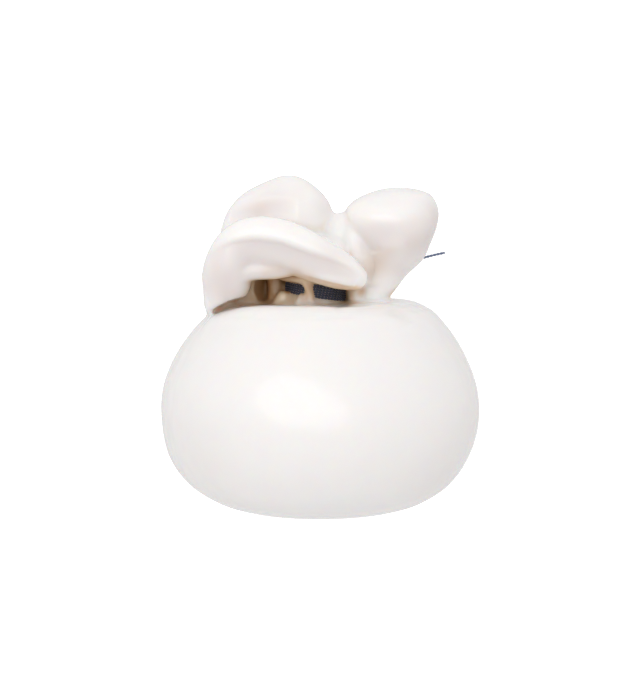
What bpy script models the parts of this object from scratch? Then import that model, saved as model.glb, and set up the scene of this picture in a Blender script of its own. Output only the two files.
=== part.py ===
"""A burrata: a ball of stretched curd whose gathered neck is bound with string under a folded crown.

Metres, +Z up, standing on z = 0. The origin is the middle of the underside, and the loose flap
at the front overhangs towards -Y.
"""

import math
from collections import namedtuple

import bmesh
import bpy
from mathutils import Matrix, Vector

MM = 0.001

# The ball
BALL_WIDTH = 84.0 * MM
BALL_DEPTH = 81.5 * MM
BALL_TILT = 0.028
BALL_TILT_HEIGHT = 18.0 * MM
BALL_LEAN = 0.6 * MM
BALL_LEAN_MIDDLE = 40.0 * MM
BALL_LEAN_CORE = 2.0 * MM
BALL_LEAN_REACH = 20.0 * MM
BALL_STEPS = 72
BALL_PROFILE_MM = (
    (0.0, 52.2),
    (9.0, 51.6),
    (15.0, 52.2),
    (21.5, 53.9),
    (26.8, 52.8),
    (31.2, 49.6),
    (36.5, 43.0),
    (39.8, 36.5),
    (41.6, 30.5),
    (42.0, 24.5),
    (41.0, 17.5),
    (38.4, 11.2),
    (34.2, 6.0),
    (28.0, 2.0),
    (23.0, 0.3),
    (17.0, -0.8),
    (0.0, -0.8),
)

# The pleats that run from the neck over the ball's shoulder
PLEATS = 11
PLEAT_DEPTH = 0.9 * MM
PLEAT_START = 10.0 * MM
PLEAT_END = 27.0 * MM

# The neck, which leans a little to the right
NECK_FOOT = Vector((-1.9, 0.5, 50.0)) * MM
NECK_LEAN = math.radians(9.0)
NECK_STEPS = 60
NECK_PROFILE_MM = (
    (0.0, 22.0),
    (7.0, 21.5),
    (10.5, 18.5),
    (11.5, 15.5),
    (10.6, 12.8),
    (9.1, 10.8),
    (8.3, 9.2),
    (8.3, 5.2),
    (9.2, 3.8),
    (11.6, 2.4),
    (14.5, 1.0),
    (14.5, -4.0),
    (0.0, -4.0),
)
NECK_PLEATS = 10
NECK_PLEAT_DEPTH = 0.5 * MM

# The string
STRING = 0.7 * MM
TURNS = 6
TIE_HEIGHT = 7.2 * MM
TIE_RADIUS = 7.9 * MM
CLEARANCE = 0.3 * MM
TIE_STEPS = 48

# How finely the curd is fused and faceted
VOXEL = 0.9 * MM
SMOOTHING_ROUNDS = 5
CHEESE_TRIANGLES = 8000
SECTION_POINTS = 16
CURVE_STEPS = 6

# A fold of the crown is lofted through sections, in millimetres. Each has its middle, half its
# breadth across the fold, half its thickness, and its turn about the fold's own line in degrees.
Section = namedtuple("Section", "x y z breadth thickness turn")
BACKWARD = Vector((0.0, 1.0, 0.0))
UPWARD = Vector((0.0, -0.3, 1.0))

FRONT_FLAP = (
    Section(-28.0, -5.0, 51.6, 2.4, 3.5, 0),
    Section(-26.0, -6.5, 55.0, 4.8, 4.8, 0),
    Section(-24.3, -7.8, 58.8, 6.6, 5.6, 0),
    Section(-23.7, -9.0, 63.0, 6.6, 5.6, 0),
    Section(-22.2, -10.4, 67.3, 6.2, 5.0, 6),
    Section(-18.4, -11.6, 70.2, 6.6, 4.7, 12),
    Section(-11.5, -12.7, 70.2, 6.7, 4.6, 16),
    Section(-3.8, -12.9, 66.9, 6.5, 4.4, 16),
    Section(3.8, -12.4, 63.5, 5.6, 4.0, 14),
    Section(8.4, -11.0, 61.3, 4.1, 3.4, 8),
    Section(11.6, -9.4, 59.4, 2.2, 2.2, 0),
)
BACK_DOME = (
    Section(-15.5, 5.0, 50.0, 12.0, 6.5, 0),
    Section(-15.0, 5.0, 57.0, 13.5, 8.0, 0),
    Section(-12.7, 3.6, 65.5, 15.0, 9.8, 0),
    Section(-11.2, 2.0, 72.5, 15.1, 10.2, 0),
    Section(-10.6, 1.5, 76.7, 14.4, 9.8, 0),
    Section(-10.1, 1.2, 79.8, 13.0, 8.9, 0),
    Section(-9.7, 0.9, 82.4, 10.7, 7.6, 0),
    Section(-9.1, 0.6, 84.5, 7.7, 5.8, 0),
    Section(-8.3, 0.3, 86.2, 4.4, 3.6, 0),
    Section(-8.2, 0.2, 87.2, 1.8, 1.6, 0),
)
RIGHT_EAR = (
    Section(12.6, -1.0, 50.5, 4.6, 4.0, 0),
    Section(12.8, -1.4, 54.0, 4.5, 4.2, 0),
    Section(14.6, -1.6, 57.4, 5.4, 4.6, 0),
    Section(16.3, -1.9, 61.2, 6.4, 5.0, 0),
    Section(18.7, -2.2, 65.0, 8.4, 5.9, 0),
    Section(18.9, -3.0, 69.0, 9.8, 7.3, 0),
    Section(19.1, -3.4, 72.6, 11.1, 8.6, 0),
    Section(18.8, -3.0, 76.4, 12.4, 9.2, 0),
    Section(18.8, -2.1, 79.2, 12.0, 8.4, 0),
    Section(19.6, -1.4, 81.2, 10.2, 7.0, 0),
    Section(20.5, -1.0, 82.5, 8.1, 5.6, 0),
    Section(20.6, -0.7, 83.4, 5.4, 4.0, 0),
    Section(20.4, -0.6, 84.0, 2.6, 2.0, 0),
)
SADDLE = (
    Section(0.0, 1.0, 60.0, 7.5, 6.5, 0),
    Section(4.0, 0.5, 66.0, 7.5, 6.5, 0),
    Section(6.0, 0.0, 71.5, 6.0, 6.0, 0),
    Section(6.0, 0.5, 75.5, 4.5, 4.5, 0),
    Section(5.8, 0.8, 77.6, 2.4, 2.4, 0),
)
LEFT_SIDE = (
    Section(-26.0, -1.5, 50.0, 3.6, 5.0, 0),
    Section(-26.3, -1.5, 56.0, 4.2, 7.0, 0),
    Section(-25.0, -2.0, 62.0, 4.6, 8.0, 0),
    Section(-22.0, -3.0, 67.0, 4.4, 7.5, 0),
    Section(-17.0, -4.5, 70.0, 3.6, 6.5, 0),
    Section(-8.0, -6.0, 70.0, 3.4, 5.5, 0),
    Section(0.0, -6.5, 67.5, 3.0, 5.5, 0),
    Section(6.0, -6.0, 64.0, 2.4, 4.0, 0),
)
REAR_FOLD = (
    Section(1.0, 3.0, 60.0, 7.5, 4.5, 0),
    Section(1.5, 8.5, 67.0, 10.5, 5.0, 0),
    Section(2.0, 13.5, 71.0, 12.8, 5.0, 0),
    Section(2.5, 18.0, 70.6, 12.2, 4.6, 0),
    Section(2.8, 21.0, 67.0, 10.0, 4.0, 0),
    Section(3.0, 22.0, 63.2, 5.6, 2.9, 0),
)

# The flap's rim hangs lower towards its left. The ear is gathered in beside the saddle, and a web
# joins its foot to the neck.
RIM_DRAPE = (
    Section(-22.5, -11.2, 61.4, 2.6, 2.8, 0),
    Section(-19.8, -12.0, 62.6, 2.6, 3.2, 0),
    Section(-16.6, -12.6, 63.4, 2.5, 3.2, 0),
    Section(-13.0, -12.9, 63.9, 2.5, 3.0, 0),
    Section(-9.0, -13.1, 64.6, 2.3, 2.8, 0),
    Section(-5.0, -13.1, 64.8, 1.6, 2.4, 0),
)
GATHER = (
    Section(10.4, -2.5, 52.0, 2.0, 3.4, 0),
    Section(10.6, -3.2, 57.5, 2.2, 3.8, 0),
    Section(10.0, -4.4, 63.0, 4.2, 4.6, 0),
    Section(9.8, -4.4, 68.0, 4.4, 4.6, 0),
    Section(9.2, -3.2, 72.5, 3.6, 4.0, 0),
    Section(8.8, -2.2, 75.5, 2.0, 2.4, 0),
)
WEB = (
    Section(9.4, 1.0, 50.5, 2.4, 2.0, 0),
    Section(9.1, 1.0, 57.4, 1.9, 1.7, 0),
    Section(9.4, 1.0, 63.5, 2.4, 2.2, 0),
)

# The hollow under the front flap, and the slit beside it, as rounded cutters
HOLLOW_MIDDLE = Vector((-5.2, -3.0, 57.5)) * MM
HOLLOW_HALF = Vector((13.0, 9.5, 8.8)) * MM
SLIT_MIDDLE = Vector((-15.0, -9.0, 52.5)) * MM
SLIT_HALF = Vector((13.0, 9.0, 3.5)) * MM

# The string's loose end, from its knot beside the neck, in millimetres
TAIL = (
    Section(7.8, 4.7, 56.8, 0.5, 0.5, 0),
    Section(8.5, 4.9, 57.2, 1.2, 1.2, 0),
    Section(9.7, 5.2, 57.9, 1.3, 1.3, 0),
    Section(11.0, 5.5, 58.6, 0.5, 0.5, 0),
    Section(16.0, 5.9, 61.0, 0.35, 0.35, 0),
    Section(22.5, 5.2, 63.8, 0.35, 0.35, 0),
    Section(28.0, 4.2, 65.6, 0.35, 0.35, 0),
    Section(33.0, 3.6, 66.8, 0.35, 0.35, 0),
)


def clear_scene():
    for obj in list(bpy.data.objects):
        bpy.data.objects.remove(obj)


def new_collection(name):
    collection = bpy.data.collections.new(name)
    bpy.context.scene.collection.children.link(collection)
    return collection


def principled(name, colour, roughness, **values):
    material = bpy.data.materials.new(name)
    material.use_nodes = True
    shader = material.node_tree.nodes["Principled BSDF"]
    shader.inputs["Base Color"].default_value = (*colour, 1.0)
    shader.inputs["Roughness"].default_value = roughness
    shader.inputs["Metallic"].default_value = 0.0
    for socket, value in values.items():
        shader.inputs[socket].default_value = value
    return material


def add_object(name, mesh, collection, material=None):
    obj = bpy.data.objects.new(name, mesh)
    collection.objects.link(obj)
    if material:
        mesh.materials.append(material)
    return obj


def evaluated_mesh(obj):
    bpy.context.view_layer.update()
    graph = bpy.context.evaluated_depsgraph_get()
    return bpy.data.meshes.new_from_object(obj.evaluated_get(graph))


def smooth_line(points, steps=CURVE_STEPS):
    """Points on a Catmull-Rom curve through the given ones, which may be tuples of any length."""
    line = []
    last = len(points) - 1
    for i in range(last):
        near = [points[max(0, min(last, k))] for k in (i - 1, i, i + 1, i + 2)]
        for step in range(steps):
            t = step / steps
            weights = (
                -0.5 * t**3 + t**2 - 0.5 * t,
                1.5 * t**3 - 2.5 * t**2 + 1.0,
                -1.5 * t**3 + 2.0 * t**2 + 0.5 * t,
                0.5 * t**3 - 0.5 * t**2,
            )
            line.append([sum(w * p[k] for w, p in zip(weights, near)) for k in range(len(near[0]))])
    return line + [list(points[last])]


def turned(name, profile_mm, steps, collection):
    """The profile, from its top down its outer side, turned about Z."""
    rows = smooth_line(profile_mm)
    mesh = bpy.data.meshes.new(name)
    points = [(max(0.0, radius) * MM, 0.0, height * MM) for radius, height in rows]
    mesh.from_pydata(points, [(i, i + 1) for i in range(len(points) - 1)], [])
    obj = add_object(name, mesh, collection)
    screw = obj.modifiers.new("Turn", "SCREW")
    screw.steps = steps
    screw.render_steps = steps
    screw.use_merge_vertices = True
    screw.merge_threshold = 0.01 * MM
    obj.data = evaluated_mesh(obj)
    obj.modifiers.clear()
    return obj


def fade(value, start, end):
    """1 up to start, 0 from end, and smooth in between."""
    t = max(0.0, min(1.0, (value - start) / (end - start)))
    return 1.0 - t * t * (3.0 - 2.0 * t)


def pleat_wave(angle, count):
    """Uneven ridges round a circle, from -1 in the creases to 1."""
    drift = 0.55 * math.sin(angle + 0.7) + 0.35 * math.sin(2 * angle + 2.1)
    return math.cos(count * angle + 2.0 * drift)


def make_ball(collection):
    obj = turned("ball", BALL_PROFILE_MM, BALL_STEPS, collection)
    for vertex in obj.data.vertices:
        x, y, z = vertex.co
        radius = math.hypot(x, y)
        angle = math.atan2(y, x)
        on_top = 1.0 - fade(z, 40.0 * MM, 50.0 * MM)
        z += PLEAT_DEPTH * on_top * fade(radius, PLEAT_START, PLEAT_END) * pleat_wave(angle, PLEATS)
        z += BALL_TILT * x * (1.0 - fade(z, 0.0, BALL_TILT_HEIGHT))
        uneven = 1.0 + 0.006 * math.sin(3 * angle + 0.9) + 0.005 * math.sin(2 * angle + 2.4)
        lean = BALL_LEAN * fade(abs(z - BALL_LEAN_MIDDLE), BALL_LEAN_CORE, BALL_LEAN_REACH)
        vertex.co = (x * uneven - lean, y * uneven, z)
    return fit_footprint(obj)


def fit_footprint(obj):
    """Sets the ball's width and depth exactly, with its middle on the Z axis."""
    for axis, size in ((0, BALL_WIDTH), (1, BALL_DEPTH)):
        values = [vertex.co[axis] for vertex in obj.data.vertices]
        middle = (min(values) + max(values)) / 2
        scale = size / (max(values) - min(values))
        for vertex in obj.data.vertices:
            vertex.co[axis] = (vertex.co[axis] - middle) * scale
    return obj


def neck_frame():
    """From the neck's own axes, with Z along it, to the object's."""
    return Matrix.Translation(NECK_FOOT) @ Matrix.Rotation(NECK_LEAN, 4, "Y")


def make_neck(collection):
    obj = turned("neck", NECK_PROFILE_MM, NECK_STEPS, collection)
    for vertex in obj.data.vertices:
        x, y, z = vertex.co
        swell = 1.0 + NECK_PLEAT_DEPTH * pleat_wave(math.atan2(y, x), NECK_PLEATS) / (10.0 * MM)
        vertex.co = (x * swell, y * swell, z)
    obj.data.transform(neck_frame())
    return obj


def section_ring(section, tangent, facing):
    """Points round one section: an ellipse a little squarer than a true one."""
    toward = Matrix.Rotation(math.radians(section[5]), 3, tangent) @ facing
    across = tangent.cross(toward).normalized()
    toward = across.cross(tangent)
    middle = Vector(section[:3])
    ring = []
    for k in range(SECTION_POINTS):
        angle = 2 * math.pi * k / SECTION_POINTS
        c, s = math.cos(angle), math.sin(angle)
        across_share = math.copysign(abs(c) ** 0.85, c)
        toward_share = math.copysign(abs(s) ** 0.85, s)
        ring.append(middle + across * section[3] * across_share + toward * section[4] * toward_share)
    return ring


def make_fold(name, sections, collection, facing=BACKWARD, level=False):
    """A closed fold lofted through the sections, its thickness measured along the way it faces.

    A level fold's sections lie flat, and any other's lie square across its line.
    """
    rows = smooth_line(sections, steps=2)
    middles = [Vector(row[:3]) for row in rows]
    shape = bmesh.new()
    rings = []
    for i, row in enumerate(rows):
        ahead = middles[min(i + 1, len(rows) - 1)]
        behind = middles[max(i - 1, 0)]
        along = Vector((0.0, 0.0, 1.0)) if level else (ahead - behind).normalized()
        ring = section_ring(row, along, facing)
        rings.append([shape.verts.new(point * MM) for point in ring])
    for ring, following in zip(rings, rings[1:]):
        for k in range(SECTION_POINTS):
            after = (k + 1) % SECTION_POINTS
            shape.faces.new((ring[k], ring[after], following[after], following[k]))
    shape.faces.new(rings[0][::-1])
    shape.faces.new(rings[-1])
    bmesh.ops.recalc_face_normals(shape, faces=shape.faces)
    mesh = bpy.data.meshes.new(name)
    shape.to_mesh(mesh)
    shape.free()
    obj = add_object(name, mesh, collection)
    subdivision = obj.modifiers.new("Round", "SUBSURF")
    subdivision.levels = 1
    subdivision.render_levels = 1
    return obj


def cut(obj, cutter):
    """Cuts the cutter out of the object, and removes the cutter."""
    boolean = obj.modifiers.new("Cut", "BOOLEAN")
    boolean.operation = "DIFFERENCE"
    boolean.solver = "EXACT"
    boolean.object = cutter
    obj.data = evaluated_mesh(obj)
    obj.modifiers.clear()
    bpy.data.objects.remove(cutter)


def make_rounded_cutter(name, middle, half, collection):
    shape = bmesh.new()
    bmesh.ops.create_uvsphere(shape, u_segments=32, v_segments=16, radius=1.0)
    mesh = bpy.data.meshes.new(name)
    shape.to_mesh(mesh)
    shape.free()
    mesh.transform(Matrix.LocRotScale(middle, None, half))
    return add_object(name, mesh, collection)


def fuse(name, shapes, collection, material=None):
    """One mesh of the shapes' outer surface."""
    joined = bmesh.new()
    for obj in shapes:
        mesh = evaluated_mesh(obj)
        joined.from_mesh(mesh)
        bpy.data.meshes.remove(mesh)
    mesh = bpy.data.meshes.new(name)
    joined.to_mesh(mesh)
    joined.free()
    for obj in shapes:
        bpy.data.objects.remove(obj)
    obj = add_object(name, mesh, collection, material)
    remesh = obj.modifiers.new("Fuse", "REMESH")
    remesh.mode = "VOXEL"
    remesh.voxel_size = VOXEL
    obj.data = evaluated_mesh(obj)
    obj.modifiers.clear()
    return obj


def soften(obj):
    """Rounds the creases between the fused folds, and facets them evenly."""
    smooth = obj.modifiers.new("Soften", "SMOOTH")
    smooth.factor = 0.5
    smooth.iterations = SMOOTHING_ROUNDS
    decimate = obj.modifiers.new("Facet", "DECIMATE")
    decimate.ratio = CHEESE_TRIANGLES / (2.0 * len(obj.data.polygons))
    obj.data = evaluated_mesh(obj)
    obj.modifiers.clear()


def keep_outer_shell(obj):
    """Removes any small shell that the fusing leaves inside or beside the main one."""
    shape = bmesh.new()
    shape.from_mesh(obj.data)
    shape.verts.ensure_lookup_table()
    unseen = set(shape.verts)
    shells = []
    while unseen:
        shell = {unseen.pop()}
        edge_of_shell = list(shell)
        while edge_of_shell:
            vertex = edge_of_shell.pop()
            near = {edge.other_vert(vertex) for edge in vertex.link_edges} & unseen
            unseen -= near
            shell |= near
            edge_of_shell.extend(near)
        shells.append(shell)
    shells.sort(key=len)
    loose = [vertex for shell in shells[:-1] for vertex in shell]
    bmesh.ops.delete(shape, geom=loose, context="VERTS")
    shape.to_mesh(obj.data)
    shape.free()


def cut_flat_foot(obj):
    """Cuts the sunken underside off at z = 0, so that the cheese rests on one flat face."""
    shape = bmesh.new()
    shape.from_mesh(obj.data)
    cut = bmesh.ops.bisect_plane(
        shape,
        geom=[*shape.verts, *shape.edges, *shape.faces],
        dist=0.001 * MM,
        plane_co=(0, 0, 0),
        plane_no=(0, 0, -1),
        clear_outer=True,
    )
    rim = [item for item in cut["geom_cut"] if isinstance(item, bmesh.types.BMEdge)]
    bmesh.ops.holes_fill(shape, edges=rim, sides=0)
    bmesh.ops.triangulate(shape, faces=shape.faces)
    shape.to_mesh(obj.data)
    shape.free()


def tie_frame():
    """The middle of the string's turns, with Z along the neck."""
    return neck_frame() @ Matrix.Translation((0.0, 0.0, TIE_HEIGHT))


def turned_ring(name, outline, frame, collection, material=None):
    """A closed outline of radius and height, turned about the frame's Z."""
    mesh = bpy.data.meshes.new(name)
    points = [(radius, 0.0, height) for radius, height in outline]
    mesh.from_pydata(points, [(i, (i + 1) % len(points)) for i in range(len(points))], [])
    obj = add_object(name, mesh, collection)
    screw = obj.modifiers.new("Turn", "SCREW")
    screw.steps = TIE_STEPS
    screw.render_steps = TIE_STEPS
    screw.use_merge_vertices = True
    screw.merge_threshold = 0.01 * MM
    obj.data = evaluated_mesh(obj)
    obj.modifiers.clear()
    obj.data.transform(frame)
    if material:
        obj.data.materials.append(material)
    face_out(obj)
    return obj


def face_out(obj):
    shape = bmesh.new()
    shape.from_mesh(obj.data)
    bmesh.ops.recalc_face_normals(shape, faces=shape.faces)
    bmesh.ops.triangulate(shape, faces=shape.faces)
    shape.to_mesh(obj.data)
    shape.free()


def make_tie_band(collection, material):
    """The turns of string as one ribbed ring."""
    half = TURNS * STRING / 2
    outline = []
    for turn in range(TURNS):
        for step in range(4):
            angle = math.pi * (step + 0.5) / 4
            height = half - STRING * (turn + 0.5) + STRING / 2 * math.cos(angle)
            outline.append((TIE_RADIUS + STRING / 2 * (1.0 + math.sin(angle)), height))
    outline += [(TIE_RADIUS, -half + STRING / 8), (TIE_RADIUS, half - STRING / 8)]
    return turned_ring("tie_band", outline, tie_frame(), collection, material)


def make_groove_cutter(collection):
    """The room for the string round the neck, with the clearance on every side."""
    half = TURNS * STRING / 2 + CLEARANCE
    inner = TIE_RADIUS - CLEARANCE
    outer = TIE_RADIUS + STRING + CLEARANCE
    outline = [(inner, half), (outer, half), (outer, -half), (inner, -half)]
    return turned_ring("groove", outline, tie_frame(), collection)


def make_tail(collection, material):
    """The knot and the loose end of the string, as one solid."""
    obj = make_fold("tie_tail", TAIL, collection)
    obj.modifiers.clear()
    obj.data.materials.append(material)
    face_out(obj)
    return obj


def main():
    clear_scene()
    burrata = new_collection("Burrata")
    cutters = new_collection("Cutters")
    curd = principled("fresh_curd", (0.92, 0.90, 0.87), 0.35)
    twine = principled("blue_string", (0.05, 0.06, 0.13), 0.5)
    hood_folds = [
        make_fold("front_flap", FRONT_FLAP, burrata),
        make_fold("back_dome", BACK_DOME, burrata, level=True),
        make_fold("left_side", LEFT_SIDE, burrata),
    ]
    hood = fuse("hood", hood_folds, burrata)
    cut(hood, make_rounded_cutter("slit", SLIT_MIDDLE, SLIT_HALF, cutters))
    cut(hood, make_rounded_cutter("hollow", HOLLOW_MIDDLE, HOLLOW_HALF, cutters))
    shapes = [
        hood,
        make_ball(burrata),
        make_neck(burrata),
        make_fold("right_ear", RIGHT_EAR, burrata, level=True),
        make_fold("saddle", SADDLE, burrata),
        make_fold("rear_fold", REAR_FOLD, burrata, UPWARD),
        make_fold("rim_drape", RIM_DRAPE, burrata),
        make_fold("gather", GATHER, burrata),
        make_fold("web", WEB, burrata),
    ]
    cheese = fuse("cheese", shapes, burrata, curd)
    keep_outer_shell(cheese)
    soften(cheese)
    cut(cheese, make_groove_cutter(cutters))
    cut_flat_foot(cheese)
    make_tie_band(burrata, twine)
    make_tail(burrata, twine)


main()
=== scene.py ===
import math
from collections import namedtuple

import bpy
import numpy as np
from bpy.props import FloatProperty, FloatVectorProperty, IntProperty, PointerProperty
from mathutils import Matrix, Vector, noise
from mathutils.bvhtree import BVHTree


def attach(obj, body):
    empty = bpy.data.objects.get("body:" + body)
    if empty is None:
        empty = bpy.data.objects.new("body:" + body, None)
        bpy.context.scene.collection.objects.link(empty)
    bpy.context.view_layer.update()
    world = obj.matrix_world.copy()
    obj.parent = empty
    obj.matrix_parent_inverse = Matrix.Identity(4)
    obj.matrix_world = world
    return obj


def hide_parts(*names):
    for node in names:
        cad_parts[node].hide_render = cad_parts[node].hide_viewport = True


bl_info = {
    "name": "Burrata",
    "version": (1, 0, 0),
    "blender": (4, 5, 0),
    "location": "View3D > Sidebar > Burrata",
    "description": "A fresh burrata with a string-tied neck under a folded crown",
    "category": "Add Mesh",
}

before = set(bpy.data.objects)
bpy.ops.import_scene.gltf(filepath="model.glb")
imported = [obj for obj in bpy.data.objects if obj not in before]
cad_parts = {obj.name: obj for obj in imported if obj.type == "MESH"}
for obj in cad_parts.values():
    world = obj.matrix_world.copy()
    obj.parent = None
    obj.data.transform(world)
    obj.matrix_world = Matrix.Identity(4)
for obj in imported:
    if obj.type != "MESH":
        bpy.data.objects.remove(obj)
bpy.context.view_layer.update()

MM = 0.001

X_AXIS = Vector((1.0, 0.0, 0.0))
Y_AXIS = Vector((0.0, 1.0, 0.0))
Z_AXIS = Vector((0.0, 0.0, 1.0))

# The camera that the photo was measured with, in millimetres on the film and metres outside it
LENS = 100.0
SENSOR = 36.0
CAMERA_DISTANCE = 505.5 * MM
CAMERA_ELEVATION = math.radians(5.0)
CAMERA_TARGET = Vector((0.0, 0.0, 42.5)) * MM
CAMERA_NEAREST = 10.0 * MM

# The ball's outline from its top down its side, as radius and height in millimetres
BALL_OUTLINE = (
    (0.0, 52.2),
    (9.0, 51.6),
    (15.0, 52.2),
    (21.5, 53.9),
    (26.8, 52.8),
    (31.2, 49.6),
    (36.5, 43.0),
    (39.8, 36.5),
    (41.6, 30.5),
    (42.0, 24.5),
    (41.0, 17.5),
    (38.4, 11.2),
    (34.2, 6.0),
    (28.0, 2.0),
    (23.0, 0.3),
    (17.0, -0.8),
    (0.0, -0.8),
)
# The ball tilts from the floor up to this height, and its shoulder leans a little to the left
BALL_TILT_HEIGHT = 18.0 * MM
BALL_LEAN = 0.6 * MM
BALL_LEAN_MIDDLE = 40.0 * MM
BALL_LEAN_START = 2.0 * MM
BALL_LEAN_END = 20.0 * MM
# Waves round a circle, each with its count, its size and its start: how far the ball is from round,
# and how unevenly the pleats lie
BALL_WAVES = ((3, 0.006, 0.9), (2, 0.005, 2.4))
PLEAT_WAVES = ((1, 0.55, 0.7), (2, 0.35, 2.1))
# The pleats on top of the ball fade in between two heights, and out between two radii
PLEATS = 11
PLEAT_FOOT = 40.0 * MM
PLEAT_CREST = 50.0 * MM
PLEAT_START = 10.0 * MM
PLEAT_END = 21.5 * MM

# The neck's outline about its own leaning axis, from its top down, in millimetres
NECK_FOOT = Vector((-1.9, 0.5, 50.0)) * MM
NECK_LEAN = math.radians(9.0)
NECK_OUTLINE = (
    (0.0, 22.0),
    (7.0, 21.5),
    (10.5, 18.5),
    (11.5, 15.5),
    (10.6, 12.8),
    (9.3, 10.8),
    (8.5, 9.5),
    (8.0, 9.1),
    (8.0, 5.3),
    (8.5, 4.9),
    (9.2, 3.8),
    (11.6, 2.4),
    (14.5, 1.0),
    (14.5, -4.0),
    (0.0, -4.0),
)
NECK_RADIUS = 10.0 * MM
NECK_PLEATS = 10
NECK_PLEAT_DEPTH = 0.5 * MM
# The string presses most of the neck's pleats flat, and they come back above and below it
TIE_HEIGHT = 7.2 * MM
TIE_PRESS = 0.75
TIE_PRESS_START = 1.6 * MM
TIE_PRESS_END = 3.2 * MM

# A fold of the crown is lofted through sections, in millimetres. Each has its middle, half its
# breadth across the fold, half its thickness, and its turn about the fold's own line in degrees.
Section = namedtuple("Section", "x y z breadth thickness turn")
BACKWARD = Vector((0.0, 1.0, 0.0))
UPWARD = Vector((0.0, -0.3, 1.0))

FRONT_FLAP = (
    Section(-28.0, -5.0, 51.6, 2.4, 3.5, 0),
    Section(-26.0, -6.5, 55.0, 4.8, 4.8, 0),
    Section(-24.3, -7.8, 58.8, 6.6, 5.6, 0),
    Section(-23.7, -9.0, 63.0, 6.6, 5.6, 0),
    Section(-22.2, -10.4, 67.3, 6.2, 5.0, 6),
    Section(-18.4, -11.6, 70.2, 6.6, 4.7, 12),
    Section(-11.5, -12.7, 70.2, 6.7, 4.6, 16),
    Section(-3.8, -12.9, 66.9, 6.5, 4.4, 16),
    Section(3.8, -12.4, 63.5, 5.6, 4.0, 14),
    Section(8.4, -11.0, 61.3, 4.1, 3.4, 8),
    Section(11.6, -9.4, 59.4, 2.2, 2.2, 0),
)
BACK_DOME = (
    Section(-15.5, 5.0, 50.0, 12.0, 6.5, 0),
    Section(-15.0, 5.0, 57.0, 13.5, 8.0, 0),
    Section(-12.7, 3.6, 65.5, 15.0, 9.8, 0),
    Section(-11.2, 2.0, 72.5, 15.1, 10.2, 0),
    Section(-10.6, 1.5, 76.7, 14.4, 9.8, 0),
    Section(-10.1, 1.2, 79.8, 13.0, 8.9, 0),
    Section(-9.7, 0.9, 82.4, 10.7, 7.6, 0),
    Section(-9.1, 0.6, 84.5, 7.7, 5.8, 0),
    Section(-8.3, 0.3, 86.2, 4.4, 3.6, 0),
    Section(-8.2, 0.2, 87.2, 1.8, 1.6, 0),
)
RIGHT_EAR = (
    Section(12.6, -1.0, 50.5, 4.6, 4.0, 0),
    Section(12.8, -1.4, 54.0, 4.5, 4.2, 0),
    Section(14.6, -1.6, 57.4, 5.4, 4.6, 0),
    Section(16.3, -1.9, 61.2, 6.4, 5.0, 0),
    Section(18.7, -2.2, 65.0, 8.4, 5.9, 0),
    Section(18.9, -3.0, 69.0, 9.8, 7.3, 0),
    Section(19.1, -3.4, 72.6, 11.1, 8.6, 0),
    Section(18.8, -3.0, 76.4, 12.4, 9.2, 0),
    Section(18.8, -2.1, 79.2, 12.0, 8.4, 0),
    Section(19.6, -1.4, 81.2, 10.2, 7.0, 0),
    Section(20.5, -1.0, 82.5, 8.1, 5.6, 0),
    Section(20.6, -0.7, 83.4, 5.4, 4.0, 0),
    Section(20.4, -0.6, 84.0, 2.6, 2.0, 0),
)
SADDLE = (
    Section(0.0, 1.0, 60.0, 7.5, 6.5, 0),
    Section(4.0, 0.5, 66.0, 7.5, 6.5, 0),
    Section(6.0, 0.0, 71.5, 6.0, 6.0, 0),
    Section(6.0, 0.5, 75.5, 4.5, 4.5, 0),
    Section(5.8, 0.8, 77.6, 2.4, 2.4, 0),
)
LEFT_SIDE = (
    Section(-26.0, -1.5, 50.0, 3.6, 5.0, 0),
    Section(-26.3, -1.5, 56.0, 4.2, 7.0, 0),
    Section(-25.0, -2.0, 62.0, 4.6, 8.0, 0),
    Section(-22.0, -3.0, 67.0, 4.4, 7.5, 0),
    Section(-17.0, -4.5, 70.0, 3.6, 6.5, 0),
    Section(-8.0, -6.0, 70.0, 3.4, 5.5, 0),
    Section(0.0, -6.5, 67.5, 3.0, 5.5, 0),
    Section(6.0, -6.0, 64.0, 2.4, 4.0, 0),
)
REAR_FOLD = (
    Section(1.0, 3.0, 60.0, 7.5, 4.5, 0),
    Section(1.5, 8.5, 67.0, 10.5, 5.0, 0),
    Section(2.0, 13.5, 71.0, 12.8, 5.0, 0),
    Section(2.5, 18.0, 70.6, 12.2, 4.6, 0),
    Section(2.8, 21.0, 67.0, 10.0, 4.0, 0),
    Section(3.0, 22.0, 63.2, 5.6, 2.9, 0),
)

# Pleats between the neck and the folds round it: one in front of the string, one at the back of the
# hollow, two that run up to the string's lower edge, a lip over its upper edge, and a web towards
# the ear
FRONT_PLEAT = (
    Section(-1.5, -9.2, 51.5, 1.8, 1.6, 0),
    Section(-2.3, -8.2, 54.5, 1.2, 1.0, 0),
    Section(-3.0, -7.9, 57.5, 1.0, 0.8, 0),
    Section(-3.9, -8.4, 60.8, 1.3, 1.2, 0),
    Section(-4.2, -9.2, 64.5, 2.0, 1.8, 0),
)
HOLLOW_PLEAT = (
    Section(-11.8, 0.6, 51.0, 2.8, 2.4, 0),
    Section(-11.6, 0.9, 57.5, 2.1, 2.2, 0),
    Section(-11.9, 0.6, 64.5, 2.8, 2.6, 0),
)
TIE_PLEAT = (
    Section(-10.6, -3.4, 52.5, 2.4, 2.4, 0),
    Section(-9.8, -4.2, 55.2, 2.1, 2.2, 0),
    Section(-8.9, -4.9, 57.2, 1.2, 1.4, 0),
)
TIE_NOTCH = (
    Section(-5.3, -8.0, 52.8, 1.6, 1.6, 0),
    Section(-5.2, -7.5, 55.2, 1.0, 1.1, 0),
    Section(-5.1, -7.0, 56.6, 0.6, 0.7, 0),
)
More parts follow.
